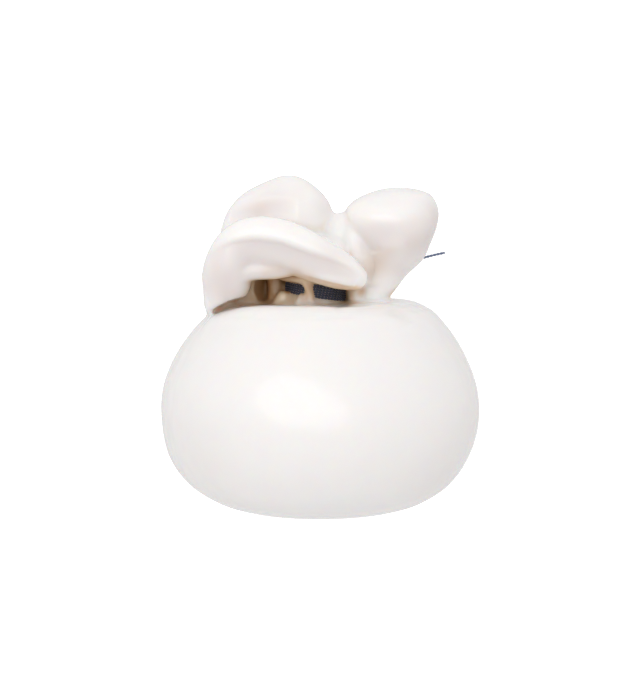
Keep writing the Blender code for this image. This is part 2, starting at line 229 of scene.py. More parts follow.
TIE_LIP = (
    Section(-10.4, -2.6, 61.4, 1.6, 1.6, 0),
    Section(-8.6, -4.6, 61.0, 1.6, 1.6, 0),
    Section(-6.2, -6.9, 60.7, 1.3, 1.4, 0),
    Section(-3.4, -8.2, 60.2, 1.2, 1.3, 0),
    Section(-1.6, -8.4, 60.8, 0.8, 0.9, 0),
)
WEB = (
    Section(9.4, 1.0, 50.5, 2.4, 2.0, 0),
    Section(9.1, 1.0, 57.4, 1.9, 1.7, 0),
    Section(9.4, 1.0, 63.5, 2.4, 2.2, 0),
)

# The flap's rim hangs lower towards its left, and the ear is gathered in beside the saddle
RIM_DRAPE = (
    Section(-22.5, -10.4, 61.2, 2.6, 2.8, 0),
    Section(-19.8, -10.9, 62.3, 2.7, 2.8, 0),
    Section(-16.6, -11.3, 63.0, 2.7, 2.6, 0),
    Section(-13.0, -11.7, 63.1, 2.7, 2.4, 0),
    Section(-9.2, -12.0, 63.5, 2.7, 2.3, 0),
    Section(-5.2, -12.5, 64.1, 2.1, 2.1, 0),
)
GATHER = (
    Section(9.6, -3.0, 52.0, 2.4, 3.8, 0),
    Section(9.7, -3.4, 57.5, 2.5, 4.0, 0),
    Section(10.0, -4.4, 63.0, 4.2, 4.6, 0),
    Section(9.8, -4.4, 68.0, 4.4, 4.6, 0),
    Section(9.2, -3.2, 72.5, 3.6, 4.0, 0),
    Section(8.8, -2.2, 75.5, 2.0, 2.4, 0),
)

# A stroke presses the finished surface in along a line, or draws it out if its depth is below 0.
# The press fades out over its reach above the line and over its reach below it, in millimetres.
# Its tint is how much painted mauve shade the pressed skin gets.
Stroke = namedtuple("Stroke", "depth above below tint line")
STROKES = (
    # The flap's rolled edge over its face, and the lip along its rim
    Stroke(0.9, 0.9, 6.0, 0.75, (
        (-28.0, -11.0, 66.0),
        (-24.5, -14.6, 69.0),
        (-19.0, -17.4, 70.1),
        (-11.3, -18.8, 69.6),
        (-5.0, -19.0, 67.6),
        (2.5, -18.1, 65.3),
        (7.6, -16.4, 63.2),
        (10.7, -14.6, 61.1),
    )),
    Stroke(-0.6, 0.9, 0.9, 0.0, (
        (-5.0, -16.6, 61.6),
        (1.3, -16.5, 60.2),
        (6.4, -15.4, 59.2),
        (9.7, -13.8, 58.6),
    )),
    # The ear's folded top, the fold under it, and its stem
    Stroke(0.4, 3.0, 6.0, 0.5, (
        (8.2, -6.3, 71.9),
        (14.1, -11.0, 72.8),
        (20.4, -12.0, 73.3),
        (28.4, -9.0, 76.4),
    )),
    Stroke(-0.5, 1.8, 1.8, 0.0, ((15.0, -9.6, 68.6), (18.4, -10.3, 69.2), (22.0, -9.6, 69.6))),
    Stroke(-0.9, 2.6, 2.6, 0.0, ((13.4, -7.0, 68.0), (13.4, -6.8, 63.5), (13.2, -6.4, 58.5))),
    # The dome's front, where the flap leans against it
    Stroke(0.8, 1.8, 3.8, 0.5, (
        (-24.0, -2.8, 77.0),
        (-18.0, -6.3, 78.6),
        (-12.0, -7.0, 79.4),
        (-6.0, -6.6, 79.4),
    )),
    # The crest of the ball in front of the gap
    Stroke(-1.0, 3.5, 4.0, 0.0, (
        (-31.0, -9.0, 51.8),
        (-24.0, -14.0, 52.8),
        (-15.0, -18.5, 53.5),
        (-7.0, -20.6, 53.9),
        (4.0, -21.4, 54.3),
    )),
    # Creases over the back of the dome, the ear and the rear fold, gathered towards the string
    Stroke(0.9, 1.6, 1.6, 0.3, (
        (-20.0, 7.0, 81.0),
        (-21.0, 12.0, 76.0),
        (-19.0, 14.0, 68.0),
        (-14.0, 14.0, 58.5),
    )),
    Stroke(-0.5, 2.2, 2.2, 0.0, ((-16.5, 12.5, 80.0), (-16.0, 14.0, 70.0), (-12.5, 14.5, 61.0))),
    Stroke(0.8, 1.4, 1.4, 0.3, (
        (-9.5, 6.5, 86.5),
        (-12.0, 11.0, 83.0),
        (-12.5, 13.5, 75.0),
        (-9.0, 14.0, 64.0),
    )),
    Stroke(0.9, 1.8, 1.8, 0.3, (
        (21.5, 3.5, 83.5),
        (22.5, 6.0, 79.0),
        (19.0, 4.5, 70.0),
        (14.5, 3.0, 60.0),
    )),
    Stroke(0.6, 1.5, 1.5, 0.2, ((-4.5, 6.5, 84.0), (-3.0, 9.5, 77.0), (-3.0, 11.0, 70.0))),
    Stroke(0.6, 1.5, 1.5, 0.2, ((27.5, 2.0, 80.0), (25.5, 4.0, 74.0), (20.5, 3.0, 65.0))),
    Stroke(0.8, 1.6, 1.6, 0.3, ((-1.0, 7.0, 72.5), (-2.5, 13.0, 75.5), (-3.5, 19.5, 73.0))),
    Stroke(0.8, 1.6, 1.6, 0.3, ((4.5, 7.0, 72.5), (6.5, 13.0, 75.5), (8.0, 19.0, 73.0))),
    # The ball's right shoulder
    Stroke(0.4, 2.6, 3.8, 0.12, ((17.8, -17.0, 53.6), (20.8, -18.6, 52.4), (23.8, -19.6, 50.6))),
)
# The points on a stroke's line for each given one, how many reaches away it still works, how soon skin
# that faces elsewhere is left out, and the power by which it tapers to both ends
STROKE_POINTS = 24
STROKE_REACHES = 3.0
STROKE_FACING = 2.0
STROKE_TAPER = 0.6

# The soft skin's swells and dents, by their size in millimetres and their number in a metre. They
# fade in above the foot.
SWELLS = ((0.16, 85.0), (0.05, 260.0))
SWELL_START = 2.0 * MM
SWELL_FADE = 6.0 * MM

# Dabs tint the curd with painted shade: mauve where its skin is turned away from the light, and brown
# in the deepest folds and along the gap. The faint blotches are the curd's own tone. Each has its
# middle and its radius in millimetres, and its strength.
Dab = namedtuple("Dab", "x y z radius strength")
MAUVE_DABS = (
    # The flap's leg and face
    Dab(-25.0, -13.0, 60.8, 6.0, 0.85),
    Dab(-24.0, -12.0, 55.0, 4.0, 0.4),
    Dab(-18.0, -16.5, 64.5, 4.5, 0.4),
    Dab(-18.0, -13.8, 62.4, 2.6, 0.5),
    Dab(-14.0, -14.4, 62.4, 2.6, 0.5),
    Dab(-10.0, -14.4, 62.8, 2.6, 0.4),
    Dab(3.0, -17.0, 66.0, 4.5, 0.4),
    # The dome's front and right side
    Dab(-12.0, -6.5, 80.0, 5.0, 0.55),
    Dab(-16.0, -6.0, 77.5, 3.5, 0.3),
    Dab(1.0, -4.0, 78.5, 3.2, 0.3),
    # The ear's underside and right edge
    Dab(11.5, -8.0, 67.0, 4.0, 0.4),
    Dab(15.0, -9.0, 70.5, 4.0, 0.35),
    Dab(24.0, -8.0, 67.5, 4.5, 0.6),
    Dab(28.0, -7.0, 70.5, 4.5, 0.8),
    Dab(29.5, -6.5, 76.5, 4.0, 0.8),
    Dab(20.0, -6.0, 63.5, 3.5, 0.6),
    # Painted shade on the ball's lower right and left
    Dab(31.0, -20.0, 9.0, 12.0, 0.2),
    Dab(38.0, -8.0, 24.0, 10.0, 0.2),
    Dab(-30.0, -26.0, 17.0, 11.0, 0.2),
)
BROWN_DABS = (
    # The dome's front: painted shade where the flap leans against it, and one faint blotch of the curd's
    # own tone
    Dab(-15.5, -6.4, 78.4, 2.4, 0.12),
    Dab(-6.0, -6.5, 82.0, 2.0, 0.04),
    # Faint blotches on the ear
    Dab(11.0, -11.5, 76.5, 1.8, 0.05),
    Dab(24.0, -9.5, 70.0, 2.4, 0.07),
    Dab(18.0, -9.5, 68.0, 2.0, 0.08),
    # Under the ear, and the small pit beside the string
    Dab(14.6, -7.4, 65.0, 3.6, 0.36),
    Dab(12.6, -7.2, 62.4, 2.6, 0.36),
    Dab(10.9, -7.1, 57.2, 1.4, 0.85),
    # The pleat in front of the string
    Dab(-3.0, -8.7, 57.0, 2.8, 0.85),
    # The flap's rim
    Dab(-24.0, -14.5, 56.0, 2.6, 0.12),
    Dab(-13.5, -14.4, 62.4, 2.0, 0.2),
    Dab(-10.5, -14.6, 62.8, 2.2, 0.25),
    Dab(-6.5, -14.4, 61.6, 2.4, 0.45),
    Dab(-2.5, -14.4, 61.0, 2.0, 0.3),
    # The crest before the gap
    Dab(-15.0, -18.0, 54.4, 3.2, 0.1),
    Dab(-9.5, -19.4, 54.8, 3.2, 0.1),
    Dab(-4.0, -19.8, 55.0, 3.2, 0.1),
    Dab(1.5, -19.8, 55.0, 3.2, 0.1),
)
# Painted light where a fold stays pale although it is shut in, as if light came through thin curd. It
# takes off this share of the painted shade there, and all of the painted brown and dark.
LIT_SHARE = 0.62
LIT_DABS = (
    Dab(-27.0, -10.0, 53.3, 6.0, 0.95),
    Dab(-21.0, -8.0, 53.5, 6.0, 0.9),
    Dab(-3.0, -10.0, 54.0, 4.0, 0.5),
    Dab(4.0, -9.5, 54.0, 4.0, 0.5),
    Dab(-13.0, -17.0, 53.5, 5.5, 0.7),
    Dab(-6.0, -18.0, 53.5, 5.5, 0.7),
    Dab(1.0, -18.5, 53.8, 5.5, 0.7),
    Dab(7.0, -17.0, 54.0, 4.5, 0.7),
    Dab(9.5, -7.5, 56.5, 3.0, 0.4),
    Dab(13.0, -7.6, 64.5, 4.5, 0.95),
    Dab(14.5, -6.2, 57.5, 4.5, 0.95),
)

# The hollow under the front flap, and the slit beside it, as rounded cutters
HOLLOW_MIDDLE = Vector((-4.8, -3.0, 57.5)) * MM
HOLLOW_HALF = Vector((12.4, 9.5, 8.8)) * MM
SLIT_MIDDLE = Vector((-15.0, -9.0, 52.5)) * MM
SLIT_HALF = Vector((13.0, 9.0, 3.5)) * MM

# How shut in the crown's skin is: rays from each point above the crown's floor, their reach, their
# start above the skin, how much less a wall counts at their full reach, and how many times the
# result is averaged with the points beside it
RAYS = 36
RAY_REACH = 24.0 * MM
RAY_START = 0.15 * MM
RAY_FADE = 0.5
CROWN_FLOOR = 44.0 * MM
SPREAD_ROUNDS = 3

# The string has two plies. A ply's radius, the length of one twist and the step between points are
# shares of the string's thickness.
PLY_RADIUS = 0.3
PLY_TWIST = 2.6
STRING_STEP = 0.25
# The turns wander in and out by a share of the thickness, this many times for each turn
TURN_POINTS = 90
WANDER = 0.06
WANDER_COUNT = 1.7
# Painted shade and light on the string: how much darker its turns in the shaded gap against the neck are,
# and how much lighter its end in the light is
SHADED_TURNS_LIGHTNESS = -0.08
LIT_END_LIGHTNESS = 0.8

# The string's loose end: its knot's middle, and the line that it follows, in millimetres
KNOT_POINTS = 60
KNOT = Vector((9.1, 5.05, 57.55)) * MM
END_LINE = (
    (9.1, 5.0, 57.5),
    (11.0, 5.5, 58.6),
    (16.0, 5.9, 61.0),
    (22.5, 5.2, 63.8),
    (28.0, 4.2, 65.6),
    (33.0, 3.6, 66.8),
)

# How shut in the skin is where each painted shade starts and where it is full, and where its wet coat goes
SHADE_RANGE = (0.3, 0.58)
BROWN_RANGE = (0.5, 0.8)
DARK_RANGE = (0.72, 0.92)
DRY_RANGE = (0.45, 0.75)
DRYNESS = 0.85
# How far light goes into the curd in metres, and how much of the red, green and blue of it
CURD_DEPTH = 0.004
CURD_GLOW = (1.0, 0.72, 0.52)
# Noise, as its number of grains in a metre
CURD_WAVES = 120.0
CURD_MOTTLE = 180.0
CURD_GRAIN = 900.0
STRING_PATCHES = 420.0
STRING_FIBRES = 5200.0

# Points closer than this are one point, and no ring is smaller than this
WELD = 0.001 * MM
SMALLEST_RING = 0.02 * MM

# How finely the shapes are made, before they are fused
RING_POINTS = 24
NECK_POINTS = 72
BALL_POINTS = 96
OUTLINE_STEPS = 4
FOLD_STEPS = 2
END_STEPS = 16
CUTTER_SEGMENTS = 48
CUTTER_RINGS = 24

# Each softbox has its place and size in metres, its tilt in degrees, and its power in watts. Only a
# mirrored one shows as a highlight on the wet skin.
Softbox = namedtuple("Softbox", "name location width height tilt power mirrored")
SOFTBOXES = (
    Softbox("key", (-0.19, -0.89, 0.275), 1.25, 0.75, -24.0, 2.35, True),
    Softbox("top", (0.05, -0.55, 0.95), 0.7, 0.6, 0.0, 1.3, False),
    Softbox("left", (-0.85, -0.3, 0.0), 0.7, 0.5, 0.0, 0.4, False),
)
LIGHTS_TARGET = Vector((0.0, 0.0, 45.0)) * MM
SURROUND_COLOUR = (1.0, 0.985, 0.985, 1.0)
SURROUND_STRENGTH = 0.77
# The floor and the round backdrop, in metres, and how much they glow
FLOOR_SIZE = 6.0
FLOOR_ROUGHNESS = 0.8
FLOOR_GLOW = 0.6
BACKDROP_SIDES = 96
BACKDROP_RADIUS = 2.9
BACKDROP_HEIGHT = 8.0
BACKDROP_ROUGHNESS = 1.0
BACKDROP_GLOW = 1.2


class BurrataSizes(bpy.types.PropertyGroup):
    """The sizes a user would change."""

    ball_width: FloatProperty(
        name="Ball width",
        description="The ball from side to side",
        default=84.0 * MM,
        unit="LENGTH",
    )
    ball_depth: FloatProperty(
        name="Ball depth",
        description="The ball from front to back",
        default=81.5 * MM,
        unit="LENGTH",
    )
    ball_tilt: FloatProperty(
        name="Ball tilt",
        description="How much higher the right shoulder is than the left, for each metre across",
        default=0.028,
    )
    pleat_depth: FloatProperty(
        name="Pleat depth",
        description="The depth of the pleats round the neck's foot",
        default=0.9 * MM,
        unit="LENGTH",
    )
    fineness: FloatProperty(
        name="Fineness",
        description="The size of the faces that the cheese is fused from",
        default=0.6 * MM,
        unit="LENGTH",
    )
    softness: IntProperty(
        name="Softness",
        description="How many rounds of smoothing the fused folds get",
        default=7,
    )
    string: FloatProperty(
        name="String",
        description="The thickness of the string",
        default=0.7 * MM,
        unit="LENGTH",
    )
    turns: IntProperty(
        name="Turns",
        description="How many times the string goes round the neck",
        default=6,
    )
    tie_radius: FloatProperty(
        name="Tie radius",
        description="The radius of the neck inside the string",
        default=7.9 * MM,
        unit="LENGTH",
    )


class BurrataColours(bpy.types.PropertyGroup):
    """The colours a user would change."""

    curd: FloatVectorProperty(
        name="Curd",
        description="The open surface of the fresh cheese",
        subtype="COLOR",
        size=3,
        default=(0.92, 0.908, 0.898),
    )
    # Painted mauve shade, for skin that is turned away from the light
    mauve: FloatVectorProperty(
        name="Mauve shade",
        description="The mauve tint of the cheese's thin and turned-away skin",
        subtype="COLOR",
        size=3,
        default=(0.745, 0.69, 0.685),
    )
    shade: FloatVectorProperty(
        name="Warm shade",
        description="The tint of the cheese between folds",
        subtype="COLOR",
        size=3,
        default=(0.82, 0.66, 0.49),
    )
    brown: FloatVectorProperty(
        name="Brown shade",
        description="The tint of the cheese under the flap",
        subtype="COLOR",
        size=3,
        default=(0.58, 0.36, 0.18),
    )
    # Painted dark shade for the deepest part of the hollow
    hollow: FloatVectorProperty(
        name="Hollow shade",
        description="The cheese deep inside the hollow",
        subtype="COLOR",
        size=3,
        default=(0.26, 0.11, 0.018),
    )
    string: FloatVectorProperty(
        name="String",
        description="The slate blue of the string",
        subtype="COLOR",
        size=3,
        default=(0.022, 0.023, 0.034),
    )
    string_light: FloatVectorProperty(
        name="String, worn",
        description="The lighter fibres of the string",
        subtype="COLOR",
        size=3,
        default=(0.15, 0.19, 0.31),
    )
    floor: FloatVectorProperty(
        name="Floor",
        description="The plain pale floor",
        subtype="COLOR",
        size=3,
        default=(0.9, 0.9, 0.9),
    )


class Value:
    """A shader socket that can be added, multiplied and mixed like a number."""

    def __init__(self, shader, socket):
        self.shader = shader
        self.socket = socket

    def math(self, operation, *values):
        return self.shader.math(operation, *values)

    def __add__(self, other):
        return self.math("ADD", self, other)

    def __sub__(self, other):
        return self.math("SUBTRACT", self, other)

    def __rsub__(self, other):
        return self.math("SUBTRACT", other, self)

    def __mul__(self, other):
        return self.math("MULTIPLY", self, other)

    __radd__ = __add__
    __rmul__ = __mul__


class Shader:
    """Builds one material's nodes."""

    def __init__(self, name):
        self.material = bpy.data.materials.new(name)
        self.material.use_nodes = True
        self.tree = self.material.node_tree
        self.surface = self.tree.nodes["Principled BSDF"]

    def node(self, kind, settings=None, *values, output=0, **named):
        """Adds a node, sets its own settings, then its sockets by order or by name."""
        node = self.tree.nodes.new(kind)
        for key, value in (settings or {}).items():
            setattr(node, key, value)
        for key, value in [*enumerate(values), *named.items()]:
            self.feed(node.inputs[key], value)
        return Value(self, node.outputs[output])

    def feed(self, socket, value):
        """Links a value that comes from a node, or sets a plain one."""
        if isinstance(value, Value):
            self.tree.links.new(value.socket, socket)
        elif value is not None:
            socket.default_value = value

    def math(self, operation, *values):
        """One step of sums on numbers, which gives a number."""
        return self.node("ShaderNodeMath", {"operation": operation}, *values)

    def mix(self, share, first, second):
        """Two colours mixed by a share from 0 to 1. A Mix node's sockets for colours come after those
        for numbers and vectors, under the same names, so they go by their order."""
        node = self.tree.nodes.new("ShaderNodeMix")
        node.data_type = "RGBA"
        self.feed(node.inputs["Factor"], share)
        self.feed(node.inputs[6], opaque(first))
        self.feed(node.inputs[7], opaque(second))
        return Value(self, node.outputs[2])

    def ramp(self, value, start, end):
        """0 up to start, 1 from end, smooth in between."""
        return self.node(
            "ShaderNodeMapRange", {"interpolation_type": "SMOOTHSTEP"}, value, start, end, 0.0, 1.0
        )

    def attribute(self, name):
        """A number that the mesh stores for each of its points."""
        return self.node("ShaderNodeAttribute", {"attribute_name": name}, output="Fac")

    def noise(self, scale, detail, roughness=0.5):
        """Soft noise from 0 to 1, with so many grains in a metre."""
        place = self.node("ShaderNodeTexCoord", output="Object")
        named = {"Vector": place, "Scale": scale, "Detail": detail, "Roughness": roughness}
        return self.node("ShaderNodeTexNoise", **named)

    def set(self, **values):
        """Sets the surface's sockets, each by its name with underscores for spaces."""
        for key, value in values.items():
            self.feed(self.surface.inputs[key.replace("_", " ")], value)
        return self.material


def opaque(colour):
    """A plain colour with its alpha. A colour that comes from a node has one already."""
    return colour if isinstance(colour, Value) else (*colour, 1.0)


def deselect_all():
    """Leaves edit mode and clears the selection."""
    if bpy.context.mode != "OBJECT":
        bpy.ops.object.mode_set(mode="OBJECT")
    bpy.ops.object.select_all(action="DESELECT")


def select_only(*objects):
    """Selects the objects and makes the first one active."""
    deselect_all()
    for obj in objects:
        obj.select_set(True)
    bpy.context.view_layer.objects.active = objects[0]


def apply_modifier(obj, kind, **settings):
    """Adds a modifier with its settings and applies it."""
    select_only(obj)
    modifier = obj.modifiers.new(kind.title(), kind)
    for key, value in settings.items():
        setattr(modifier, key, value)
    bpy.ops.object.modifier_apply(modifier=modifier.name)


def join(name, objects):
    """Joins the objects into one, with its place in its mesh."""
    select_only(*objects)
    if len(objects) > 1:
        bpy.ops.object.join()
    obj = bpy.context.view_layer.objects.active
    bpy.ops.object.transform_apply(location=True, rotation=True, scale=True)
    obj.name = name
    obj.data.name = name
    return obj


def smooth_line(points, steps):
    """Points on a Catmull-Rom curve through the given ones, which may be tuples of any length."""
    line = []
    last = len(points) - 1
    for i in range(last):
        near = [points[max(0, min(last, k))] for k in (i - 1, i, i + 1, i + 2)]
        for step in range(steps):
            t = step / steps
            weights = (
                -0.5 * t**3 + t**2 - 0.5 * t,
                1.5 * t**3 - 2.5 * t**2 + 1.0,
                -1.5 * t**3 + 2.0 * t**2 + 0.5 * t,
                0.5 * t**3 - 0.5 * t**2,
            )
            line.append([sum(w * p[k] for w, p in zip(weights, near)) for k in range(len(near[0]))])
    return line + [list(points[last])]


def add_ring(middle, across, toward, breadth, thickness, points):
    """A circle drawn out to an ellipse, lying across a fold."""
    deselect_all()
    turn = Matrix((across, toward, across.cross(toward))).transposed()
    bpy.ops.mesh.primitive_circle_add(
        vertices=points, radius=1.0, location=middle, rotation=turn.to_euler()
    )
    ring = bpy.context.active_object
    ring.scale = (max(breadth, SMALLEST_RING), max(thickness, SMALLEST_RING), 1.0)
    return ring


def bridge(name, rings, levels):
    """Joins the rings, bridges them in their order, and closes and rounds the ends."""
    obj = join(name, rings)
    bpy.ops.object.mode_set(mode="EDIT")
    bpy.ops.mesh.select_all(action="SELECT")
    bpy.ops.mesh.bridge_edge_loops(type="SINGLE")
    bpy.ops.mesh.select_all(action="SELECT")
    bpy.ops.mesh.fill_holes(sides=0)
    bpy.ops.mesh.select_all(action="SELECT")
    bpy.ops.mesh.normals_make_consistent(inside=False)
    bpy.ops.object.mode_set(mode="OBJECT")
    if levels:
        apply_modifier(obj, "SUBSURF", levels=levels, render_levels=levels)
    return obj


def make_fold(name, sections, facing=BACKWARD, upright=False):
    """A closed fold through its sections. They lie across its line, or level if it is upright."""
    rows = [Section(*row) for row in smooth_line(sections, FOLD_STEPS)]
    middles = [Vector((row.x, row.y, row.z)) * MM for row in rows]
    rings = []
    for i, row in enumerate(rows):
        along = middles[min(i + 1, len(rows) - 1)] - middles[max(i - 1, 0)]
        along = Z_AXIS if upright else along.normalized()
        toward = Matrix.Rotation(math.radians(row.turn), 3, along) @ facing
        across = along.cross(toward).normalized()
        toward = across.cross(along)
        breadth = row.breadth * MM
        thickness = row.thickness * MM
        rings.append(add_ring(middles[i], across, toward, breadth, thickness, RING_POINTS))
    return bridge(name, rings, 1)


def make_turned(name, outline, points):
    """An outline of radius and height, as rings about Z."""
    rings = []
    for radius, height in smooth_line(outline, OUTLINE_STEPS):
        middle = Z_AXIS * (height * MM)
        rings.append(add_ring(middle, X_AXIS, Y_AXIS, radius * MM, radius * MM, points))
    return bridge(name, rings, 0)


def fade(value, start, end):
    """1 up to start, 0 from end, and smooth in between."""
    t = max(0.0, min(1.0, (value - start) / (end - start)))
    return 1.0 - t * t * (3.0 - 2.0 * t)


def sum_of_waves(angle, waves):
    """The height of the waves round a circle at one angle, added up."""
    return sum(size * math.sin(count * angle + start) for count, size, start in waves)


def pleat_wave(angle, count):
    """Uneven ridges round a circle, from -1 in the creases to 1."""
    return math.cos(count * angle + 2.0 * sum_of_waves(angle, PLEAT_WAVES))


def make_ball(sizes):
    """The settled ball, pleated on top and a little out of round, drawn out to its true size."""
    obj = make_turned("ball", BALL_OUTLINE, BALL_POINTS)
    for vertex in obj.data.vertices:
        x, y, z = vertex.co
        radius = math.hypot(x, y)
        angle = math.atan2(y, x)
        on_top = 1.0 - fade(z, PLEAT_FOOT, PLEAT_CREST)
        swell = sizes.pleat_depth * on_top * fade(radius, PLEAT_START, PLEAT_END)
        z += swell * pleat_wave(angle, PLEATS)
        z += sizes.ball_tilt * x * (1.0 - fade(z, 0.0, BALL_TILT_HEIGHT))
        uneven = 1.0 + sum_of_waves(angle, BALL_WAVES)
        lean = BALL_LEAN * fade(abs(z - BALL_LEAN_MIDDLE), BALL_LEAN_START, BALL_LEAN_END)
        vertex.co = (x * uneven - lean, y * uneven, z)
    for axis, size in ((0, sizes.ball_width), (1, sizes.ball_depth)):
        values = [vertex.co[axis] for vertex in obj.data.vertices]
        middle = (min(values) + max(values)) / 2
        scale = size / (max(values) - min(values))
        for vertex in obj.data.vertices:
            vertex.co[axis] = (vertex.co[axis] - middle) * scale
    return obj


def neck_frame():
    """From the neck's own axes, with Z along it, to the object's."""
    return Matrix.Translation(NECK_FOOT) @ Matrix.Rotation(NECK_LEAN, 4, "Y")


def make_neck():
    """The gathered neck, waisted where the string goes round it."""
    obj = make_turned("neck", NECK_OUTLINE, NECK_POINTS)
    for vertex in obj.data.vertices:
        x, y, z = vertex.co
        free = 1.0 - TIE_PRESS * fade(abs(z - TIE_HEIGHT), TIE_PRESS_START, TIE_PRESS_END)
        swell = NECK_PLEAT_DEPTH * free * pleat_wave(math.atan2(y, x), NECK_PLEATS) / NECK_RADIUS
        vertex.co = (x * (1.0 + swell), y * (1.0 + swell), z)
    obj.data.transform(neck_frame())
    return obj


def cut_rounded(obj, middle, half):
    """Cuts an ellipsoid out of the object."""
    deselect_all()
    bpy.ops.mesh.primitive_uv_sphere_add(
        segments=CUTTER_SEGMENTS, ring_count=CUTTER_RINGS, radius=1.0, location=middle
    )
    cutter = bpy.context.active_object
    cutter.scale = half
    select_only(cutter)
    bpy.ops.object.transform_apply(location=True, rotation=True, scale=True)
    apply_modifier(obj, "BOOLEAN", operation="DIFFERENCE", solver="EXACT", object=cutter)
    bpy.data.objects.remove(cutter)


def cut_flat_foot(obj):
    """Cuts the sunken underside off at z = 0, so that the cheese rests on one flat face."""
    select_only(obj)
    bpy.ops.object.mode_set(mode="EDIT")
    bpy.ops.mesh.select_all(action="SELECT")
    bpy.ops.mesh.bisect(
        plane_co=(0, 0, 0), plane_no=(0, 0, -1), use_fill=True, clear_outer=True, threshold=WELD
    )
    bpy.ops.mesh.select_all(action="SELECT")
    bpy.ops.mesh.remove_doubles(threshold=WELD)
    bpy.ops.mesh.delete_loose()
    bpy.ops.object.mode_set(mode="OBJECT")


def keep_largest_shell(obj):
    """Deletes the voids that fusing shuts in, and any crumb."""
    select_only(obj)
    bpy.ops.object.mode_set(mode="EDIT")
    bpy.ops.mesh.select_all(action="SELECT")
    bpy.ops.mesh.separate(type="LOOSE")
    bpy.ops.object.mode_set(mode="OBJECT")
    shells = sorted(bpy.context.selected_objects, key=lambda shell: len(shell.data.vertices))
    for shell in shells[:-1]:
        bpy.data.objects.remove(shell)
    kept = shells[-1]
    kept.name = kept.data.name = "fresh_cheese"
    return kept


def vertex_arrays(mesh):
    """Each vertex's place and normal, one row for each."""
    count = len(mesh.vertices)
    places = np.empty(count * 3)
    normals = np.empty(count * 3)
    mesh.vertices.foreach_get("co", places)
    mesh.vertices.foreach_get("normal", normals)
    return places.reshape(-1, 3), normals.reshape(-1, 3)


def spread(mesh, values, rounds):
    """Averages each vertex's value with its neighbours', a number of times."""
    edges = np.empty(len(mesh.edges) * 2, dtype=np.int64)
    mesh.edges.foreach_get("vertices", edges)
    first, second = edges.reshape(-1, 2).T
    count = len(values)
    near = np.bincount(first, minlength=count) + np.bincount(second, minlength=count)
    for _ in range(rounds):
        total = np.bincount(first, values[second], count) + np.bincount(second, values[first], count)
        values = 0.5 * values + 0.5 * total / np.maximum(near, 1)
    return values


def dabbed(mesh, dabs, tint):
    """How strongly each vertex is tinted, from 0 to 1, by an earlier tint and the dabs."""
    places, _ = vertex_arrays(mesh)
    clear = 1.0 - tint
    for dab in dabs:
        distances = np.linalg.norm(places - np.array((dab.x, dab.y, dab.z)) * MM, axis=1)
        clear *= 1.0 - dab.strength * np.exp(-((distances / (dab.radius * MM)) ** 2))
    return 1.0 - clear


def store(mesh, name, values):
    """Keeps a number for each vertex, for the material to read."""
    attribute = mesh.attributes.new(name, "FLOAT", "POINT")
    attribute.data.foreach_set("value", values.astype(np.float32))


def press(obj, stroke, mauve):
    """Moves the vertices near a stroke's line along their normals, and adds its painted mauve shade to
    theirs.
    """
    mesh = obj.data
    places, normals = vertex_arrays(mesh)
    tree = surface_tree(mesh)
    line = smooth_line(stroke.line, STROKE_POINTS)
    found = [tree.find_nearest(Vector(point) * MM) for point in line]
    path = np.array([hit[0] for hit in found])
    faces = np.array([hit[1] for hit in found])
    upward = np.cross(np.gradient(path, axis=0), -faces)
    share = np.linspace(0.0, 1.0, len(path))
    taper = np.sin(np.pi * share) ** STROKE_TAPER
    reach = STROKE_REACHES * MM * max(stroke.above, stroke.below)
    low = path.min(axis=0) - reach
    high = path.max(axis=0) + reach
    near = np.nonzero(np.all((places > low) & (places < high), axis=1))[0]
    offsets = places[near, None, :] - path[None, :, :]
    distances = np.linalg.norm(offsets, axis=2)
    closest = distances.argmin(axis=1)
    rows = np.arange(len(near))
    side = np.einsum("ij,ij->i", offsets[rows, closest], upward[closest])
    width = MM * np.where(side > 0.0, stroke.above, stroke.below)
    alike = np.einsum("ij,ij->i", normals[near], faces[closest])
    facing = np.clip(STROKE_FACING * alike, 0.0, 1.0)
    strength = taper[closest] * facing * np.exp(-((distances[rows, closest] / width) ** 2))
    places[near] -= normals[near] * (stroke.depth * MM * strength)[:, None]
    mesh.vertices.foreach_set("co", places.ravel())
    mesh.update()
    mauve[near] = 1.0 - (1.0 - mauve[near]) * (1.0 - stroke.tint * strength)


def make_uneven(obj):
    """Gives the surface the slight swells and dents of a soft cheese, away from the foot."""
    mesh = obj.data
    places, normals = vertex_arrays(mesh)
    swells = np.array([
        sum(size * noise.noise(Vector(place) * number) for size, number in SWELLS) for place in places
    ])
    away = np.clip((places[:, 2] - SWELL_START) / SWELL_FADE, 0.0, 1.0)
    places += normals * (swells * away * MM)[:, None]
    mesh.vertices.foreach_set("co", places.ravel())
    mesh.update()


def surface_tree(mesh):
    """A search tree for the nearest point of the skin, or the first that a ray meets."""
    corners = [vertex.co.copy() for vertex in mesh.vertices]
    return BVHTree.FromPolygons(corners, [tuple(face.vertices) for face in mesh.polygons])


def enclosure(obj):
    """How shut in each point of the crown is, from 0 in the open to 1, by rays over its half sphere."""
    mesh = obj.data
    places, normals = vertex_arrays(mesh)
    tree = surface_tree(mesh)
    golden = math.pi * (3.0 - math.sqrt(5.0))
    heights = [math.sqrt((i + 0.5) / RAYS) for i in range(RAYS)]
    rays = []
    for i, height in enumerate(heights):
        across = math.sqrt(1 - height * height)
        rays.append(Vector((math.cos(golden * i) * across, math.sin(golden * i) * across, height)))
    values = np.zeros(len(places))
    for i in np.nonzero(places[:, 2] > CROWN_FLOOR)[0]:
        normal = Vector(normals[i])
        turn = normal.to_track_quat("Z", "Y").to_matrix()
        start = Vector(places[i]) + normal * RAY_START
        shut = 0.0
        for ray in rays:
            distance = tree.ray_cast(start, turn @ ray, RAY_REACH)[3]
            if distance is not None:
                shut += 1.0 - RAY_FADE * distance / RAY_REACH
        values[i] = shut / RAYS
    return spread(mesh, values, SPREAD_ROUNDS)


